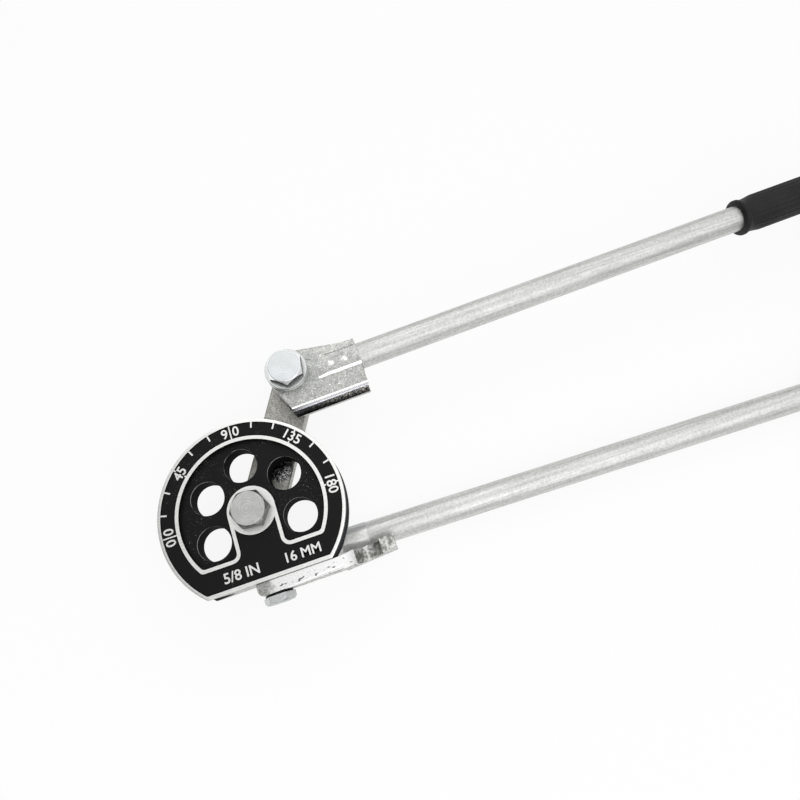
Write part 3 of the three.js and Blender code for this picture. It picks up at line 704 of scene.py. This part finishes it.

# The shoe's groove, banded by height in painted light and shade: dark painted shade near its bottom, speckled
# more towards the outer end, a pale painted lit band above that, and painted shadow over the rest.
groove_painted_shade, tree, shader, place = new_material("plated groove in painted light and shade", "#8a8a8c", 1.0, 0.26)
flecks = blotches(tree, place, 0.35, 0.48, 0.6, detail=3)
level = add_node(tree, "SeparateXYZ", "Z", {"Vector": place})
along = add_node(tree, "SeparateXYZ", "X", {"Vector": place})
# Painted light and shade by height: shade below, a lit band, then shadow above.
painted_lit_band = add_node(tree, "MapRange", "Result", {"Value": level, **between(28.35, 28.6)})
painted_shadow_line = add_node(tree, "MapRange", "Result", {"Value": level, **between(29.3, 29.6)})
outward = add_node(tree, "MapRange", "Result", {"Value": along, **between(50, 82, 0.1, 1)})
pale_share = add_node(tree, "Math", "Value", {0: flecks, 1: outward}, operation="MULTIPLY")
colour = add_node(tree, "Mix", "Result", {"Factor": painted_lit_band, "A": shades(tree, pale_share, "#1d1d1f", "#a9a7a1"),
                                          "B": shades(tree, flecks, "#bcbcc6", "#e6e6ee")}, data_type="RGBA")
colour = add_node(tree, "Mix", "Result", {"Factor": painted_shadow_line, "A": colour, "B": linear("#3a3a40")},
                  data_type="RGBA")
dress(tree, shader, colour, relief=(flecks, 0.01))


def tangent(x, y, radius, side):
    """Angle in degrees at which a line from a point touches a circle about the origin."""
    return math.degrees(math.atan2(y, x) + side * math.acos(radius / math.hypot(x, y)))


outline = [(HEAD_START, SHOE_Y), (HEAD_END, SHOE_Y), (HEAD_END, HEAD_TOP_END)]
outline += arc(NOSE_RADIUS, tangent(HEAD_END, HEAD_TOP_END, NOSE_RADIUS, 1),
               tangent(HEAD_START, SHOE_Y, NOSE_RADIUS, -1) + 360, 40)
head = raised(outline, WHEEL_BACK, WHEEL_TOP)
lip = [edge for edge in head.edges
       if all(v.co.y < SHOE_Y + 0.1 and v.co.z > WHEEL_TOP - 0.1 for v in edge.verts)]
rounded = bmesh.ops.bevel(head, geom=lip, offset=LIP_ROUND, segments=5, profile=0.5, affect="EDGES",
                          material=-1)
# The lip's rounding takes the near-white plating as a painted highlight.
for face in rounded["faces"]:
    face.material_index = 2
head = carved(head, moved(rod(GROOVE_RADIUS, -30, 80, steps=96),
                          Matrix.Translation((0, SHOE_Y, GROOVE_Z)) @ ALONG_X))
for face in head.faces:
    centre = face.calc_center_median()
    in_groove = centre.y < SHOE_Y + 8.2 and 27 < centre.z < 44
    if in_groove and abs(face.normal.x) < 0.5 and face.normal.y < 0.05:
        face.material_index = 1 if centre.y > SHOE_Y + 0.05 else 0
boss = moved(rod(SOCKET_RADIUS, 26, CASTING_END, steps=96), HEAD_BORE @ ALONG_X)
head = carved(head, carved(boss, bar((0, -40, PAD_TOP - 0.1), (60, 40, 60))), "UNION")
section = [(-11.8, PAD_ROOT), (-11.8, WHEEL_TOP + 0.1), (-10.3, PAD_TOP), (-1.5, PAD_TOP),
           (6.5, WHEEL_TOP - 0.2), (6.5, PAD_ROOT)]
pad = bmesh.new()
foot = pad.faces.new([pad.verts.new((PAD_RAMP_TOP if z == PAD_TOP else PAD_RAMP_FOOT, y, z))
                      for y, z in section])
far_end = bmesh.ops.extrude_face_region(pad, geom=[foot])["geom"]
for vert in [v for v in far_end if isinstance(v, bmesh.types.BMVert)]:
    vert.co.x = CASTING_END
bmesh.ops.bisect_plane(pad, geom=pad.verts[:] + pad.edges[:] + pad.faces[:],
                       plane_co=(PAD_BRIGHT_FROM, 0, 0), plane_no=(1, 0, 0))
bmesh.ops.recalc_face_normals(pad, faces=pad.faces)
# From PAD_BRIGHT_FROM on, the pad's front slope takes the near-white plating as a painted highlight.
for face in pad.faces:
    front_slope = face.normal.y < -0.5 and face.normal.z > 0.5
    bright = front_slope and face.calc_center_median().x > PAD_BRIGHT_FROM
    face.material_index = 2 if bright else 0
head = carved(head, pad, "UNION")
bore = rod(PIPE_RADIUS + PRESS_GAP, PIPE_START - PRESS_GAP, 80, steps=96)
head = carved(head, moved(bore, HEAD_BORE @ ALONG_X))
head = carved(head, rod(BOLT_HOLE, 0, 60))
hand_over("shoe_head_casting", moved(head, LEVER), [plated_casting, groove_painted_shade, burnish_and_highlight], "lever",
          ["shoe_head"], soften=0.5)


# Drive pins: two hardened pins in each socket, driven through its wall into the pipe.
# Their chamfered ends stand about flush, burnished by the hammer, their near white a painted highlight.
PIN_RADIUS = 1.5
PIN_EDGE = 0.4
PIN_PITCH = 8.8
for handle, axis, x, y, low, high, body in (
        ("upper", LEVER, 28.1, -4.9, 41.4, PAD_TOP + 0.25, "lever"),
        ("lower", LOWER_AXIS, 25.0, 0, -SOCKET_RADIUS, -4.7, "wheel")):
    for index, end in enumerate(("inner", "outer")):
        pin = spun([(0, low), (PIN_RADIUS - PIN_EDGE, low), (PIN_RADIUS, low + PIN_EDGE),
                    (PIN_RADIUS, high - PIN_EDGE), (PIN_RADIUS - PIN_EDGE, high), (0, high)], 32)
        spot = axis @ Matrix.Translation((x + index * PIN_PITCH, y, 0))
        hand_over(f"{handle}_drive_pin_{end}", moved(pin, spot), [burnish_and_highlight], body,
                  [f"{handle}_pin_{end}"])


# The tube hook: a small zinc-plated casting, an arm along the wheel's flat and a wider
# head with a half-round seat, held by one bolt on which it swings over the wheel.
HOOK_TOP, HOOK_LOW = -42.8, -50.6
HOOK_BACK, HOOK_FRONT = 27.4, 43.4
TIP_BACK = 18.1
TIP_END = 76.1
TIP_TOP = -40.5
ARM_START, ARM_END = -5.5, 42.5
ARM_CORNER = 4
ARM_ROUND = 2.6
SEAT_X = 59
FASTENER_X = 1
FASTENER_RADIUS = 5
FASTENER_FLATS = 17
FASTENER_SEAT, FASTENER_HEAD, FASTENER_CHAMFER = 51.8, 4.6, 1.6
FASTENER_END = 26.6
FASTENER_WASHER, FASTENER_WASHER_LOW = 1, 50.7
ALONG_Y = Matrix.Rotation(math.radians(90), 4, "X")
FASTENER = Matrix.Translation((FASTENER_X, 0, GROOVE_Z)) @ ALONG_Y

# Worn plating: white and pitted where it is rubbed, dull at the bolt's end and the tip, with darker streaks
# painted along the top of the rounded lower edge as a dark reflection.
hook_plating, tree, shader, place = new_material("worn plating on a small casting", "#f4f4f4", 1.0, 0.3)
along = add_node(tree, "SeparateXYZ", "X", {"Vector": place})
across = add_node(tree, "SeparateXYZ", "Y", {"Vector": place})
uneven = add_node(tree, "TexNoise", "Fac", {"Vector": place, **patch_size(1.6, 3)})
ragged = add_node(tree, "Math", "Value", {0: uneven, 1: 9.0}, operation="MULTIPLY")
edge = add_node(tree, "Math", "Value", {0: along, 1: ragged}, operation="ADD")
past_bolt = add_node(tree, "MapRange", "Result", {"Value": edge, **between(2.0, 6.0)})
before_tip = add_node(tree, "MapRange", "Result", {"Value": edge, **between(50, 58, 1, 0.2)})
pale_share = add_node(tree, "Math", "Value", {0: past_bolt, 1: before_tip}, operation="MULTIPLY")
# A band of darker streaks along the top of the rounded lower edge: a painted dark reflection.
from_below = add_node(tree, "MapRange", "Result", {"Value": across, **between(-49.2, -48.2, 0, 0.13)})
from_above = add_node(tree, "MapRange", "Result", {"Value": across, **between(-47.4, -46.2, 1, 0)})
line = add_node(tree, "Math", "Value", {0: from_below, 1: from_above}, operation="MULTIPLY")
drawn_out = add_node(tree, "Mapping", "Vector", {"Vector": place, "Scale": (0.45, 1.0, 1.0)})
flaws = add_node(tree, "TexNoise", "Fac", {"Vector": drawn_out, **patch_size(0.8, 3)})
pits_and_painted_streak = add_node(tree, "Math", "Value", {0: flaws, 1: line}, operation="SUBTRACT")
sand = add_node(tree, "TexNoise", "Fac", {"Vector": place, **patch_size(0.6, 3)})
dull = shades(tree, sand, "#8f908c", "#c3c4c1", 0.35, 0.65)
pitted_with_painted_streak = shades(tree, pits_and_painted_streak, "#77787a", "#ffffff", 0.27, 0.33)
colour = add_node(tree, "Mix", "Result", {"Factor": pale_share, "A": dull, "B": pitted_with_painted_streak}, data_type="RGBA")
dress(tree, shader, colour, (pale_share, 0, 1, 0.5, 0.26), (sand, 0.04))

# The hook's seat: as cast, grey and mottled where no tube has rubbed it.
mottled_seat, tree, shader, place = new_material("mottled cast seat", "#a9a9a6", 1.0, 0.45)
cast = add_node(tree, "TexNoise", "Fac", {"Vector": place, **patch_size(1.0, 3)})
dress(tree, shader, shades(tree, cast, "#8c8c89", "#dededb", 0.38, 0.62), relief=(cast, 0.06))

corner = arc(ARM_CORNER, 180, 270, 6, (ARM_START, HOOK_LOW + ARM_CORNER))[:-1]
arm = raised([(ARM_START, HOOK_LOW), (ARM_END, HOOK_LOW), (ARM_END + 4, HOOK_TOP),
              (ARM_START - ARM_CORNER, HOOK_TOP)] + corner, HOOK_BACK, HOOK_FRONT)
front = [edge for edge in arm.edges if all(v.co.y < HOOK_LOW + 0.1 and v.co.z > HOOK_FRONT - 0.1
                                           for v in edge.verts)]
bmesh.ops.bevel(arm, geom=front, offset=ARM_ROUND, segments=5, profile=0.5, affect="EDGES", material=-1)
tip = raised([(ARM_END, HOOK_LOW), (TIP_END, -48.3), (TIP_END, TIP_TOP), (SEAT_X, TIP_TOP),
              (ARM_END, HOOK_TOP)], TIP_BACK, HOOK_FRONT)
hook = carved(arm, tip, "UNION")
seat = rod(GROOVE_RADIUS, 30, 60, steps=72)
hook = carved(hook, moved(seat, Matrix.Translation((SEAT_X, 0, GROOVE_Z)) @ ALONG_Y))
hook = carved(hook, bar((SEAT_X - GROOVE_RADIUS, -60, GROOVE_Z), (SEAT_X + GROOVE_RADIUS, -30, OVER_WHEEL)))
hook = carved(hook, moved(rod(FASTENER_RADIUS + 0.1, 30, 60), FASTENER))
for face in hook.faces:
    centre = face.calc_center_median()
    in_seat = math.hypot(centre.x - SEAT_X, centre.z - GROOVE_Z) < GROOVE_RADIUS + 0.05
    face.material_index = 1 if in_seat or centre.x > 50.5 or face.normal.y < -0.9 else 0
hand_over("tube_hook_casting", hook, [hook_plating, mottled_seat], "hook", ["tube_hook"],
          soften=0.6)
side_steel = turned_steel("turned steel of the hook bolt", (FASTENER_X, 0), "#8e9293", "#d2d6d7",
                          sideways=True)
bolt = carved(hexagon(FASTENER_FLATS, FASTENER_SEAT, FASTENER_SEAT + FASTENER_HEAD, 0, FASTENER_CHAMFER),
              shank(FASTENER_RADIUS, FASTENER_END, FASTENER_SEAT + 0.7), "UNION")
hand_over("hook_hexagon_bolt", moved(bolt, FASTENER), [side_steel, zinc_washer, side_steel], "wheel",
          ["hook_bolt"], soften=0.15)
# The hook's washer takes the same painted dark, as the shade between the hook and the bolt's head.
disc = washer(FASTENER_WASHER_LOW, FASTENER_WASHER, FASTENER_RADIUS + 0.15, FASTENER_FLATS / 2)
hand_over("hook_flat_washer", moved(disc, FASTENER), [flats_painted_dark], "wheel", ["hook_washer"])


# The studio: a pale bench that runs out of the picture, soft lamps in front and behind,
# a bright world above, and the camera where the photograph was taken from.
BENCH_REACH = 6
SEEN_GLOW = 0.88
bench_sheet = bpy.data.meshes.new("bench")
bm = bmesh.new()
bmesh.ops.create_grid(bm, x_segments=1, y_segments=1, size=BENCH_REACH)
bm.to_mesh(bench_sheet)
bm.free()

# White paper, lifted to the photo's white where it is seen, and keeping a soft shadow.
bench_paper, tree, shader, place = new_material("white paper", "#f6f6f6", 0.0, 0.9)
rays = add_node(tree, "LightPath", "Is Camera Ray", {}).node.outputs
seen = rays["Is Camera Ray"]
for kind in ("Is Glossy Ray", "Is Transmission Ray"):
    seen = add_node(tree, "Math", "Value", {0: seen, 1: rays[kind]}, operation="MAXIMUM")
share = add_node(tree, "Math", "Value", {0: seen, 1: SEEN_GLOW}, operation="MULTIPLY")
glow = add_node(tree, "Emission", "Emission", {"Color": (1, 1, 1, 1), "Strength": 1.0})
blend = add_node(tree, "MixShader", "Shader", {0: share, 1: shader.outputs[0], 2: glow})
tree.links.new(blend, tree.nodes["Material Output"].inputs["Surface"])
bench_sheet.materials.append(bench_paper)
bench = bpy.data.objects.new("bench", bench_sheet)
bpy.context.collection.objects.link(bench)

# The world: brightest towards one side overhead, dim low down, with pale walls at the foot.
world = bpy.data.worlds.new("studio")
world.use_nodes = True
tree = world.node_tree
towards = add_node(tree, "TexCoord", "Generated", {})
lean = add_node(tree, "VectorMath", "Value", {0: towards, 1: (1.9, 1.24, 1.08)}, operation="DOT_PRODUCT")
height = add_node(tree, "SeparateXYZ", "Z", {"Vector": towards})
window = add_node(tree, "MapRange", "Result", {"Value": lean, **between(0.3, 1.1, 0.3, 1.1)})
overhead = add_node(tree, "MapRange", "Result", {"Value": height, **between(0.0, 0.5, 0.15, 1.0)})
sky = add_node(tree, "Math", "Value", {0: window, 1: overhead}, operation="MULTIPLY")
walls = add_node(tree, "MapRange", "Result", {"Value": height, **between(0.24, 0.3, 0.42, 0)})
light = add_node(tree, "Math", "Value", {0: sky, 1: walls}, operation="MAXIMUM")
tree.links.new(light, tree.nodes["Background"].inputs["Strength"])
tree.nodes["Background"].inputs["Color"].default_value = (1, 1, 1, 1)
bpy.context.scene.world = world

# Both lamps aim at a spot between the wheel and the grips. Places are in metres, powers in watts.
LAMP_AIM = Vector((0.15, 0.0, 0.0))
for name, spot, size, power in (("front lamp", (0.25, -0.75, 0.85), 1.15, 5.4),
                                ("back lamp", (0.1, 0.8, 0.9), 0.7, 1.2)):
    lamp = bpy.data.lights.new(name, "AREA")
    lamp.size = size
    lamp.energy = power
    stand = bpy.data.objects.new(name, lamp)
    stand.location = spot
    stand.rotation_euler = (LAMP_AIM - Vector(spot)).to_track_quat("-Z", "Y").to_euler()
    bpy.context.collection.objects.link(stand)

# The camera's place in metres and its turn in degrees; its shifts are in the photo's pixels.
CAMERA_PLACE = (0.07986, -0.08263, 0.45165)
CAMERA_TURN = (16.5130, 1.7466, -18.8167)
PHOTO_WIDTH = 800
lens = bpy.data.cameras.new("camera")
lens.sensor_width = 36
lens.lens = 30.42
lens.clip_start = 0.01
lens.shift_x = -0.6 / PHOTO_WIDTH
lens.shift_y = 0.7 / PHOTO_WIDTH
camera = bpy.data.objects.new("camera", lens)
camera.location = CAMERA_PLACE
camera.rotation_euler = [math.radians(angle) for angle in CAMERA_TURN]
bpy.context.collection.objects.link(camera)
bpy.context.scene.camera = camera
bpy.context.scene.view_settings.view_transform = "Standard"
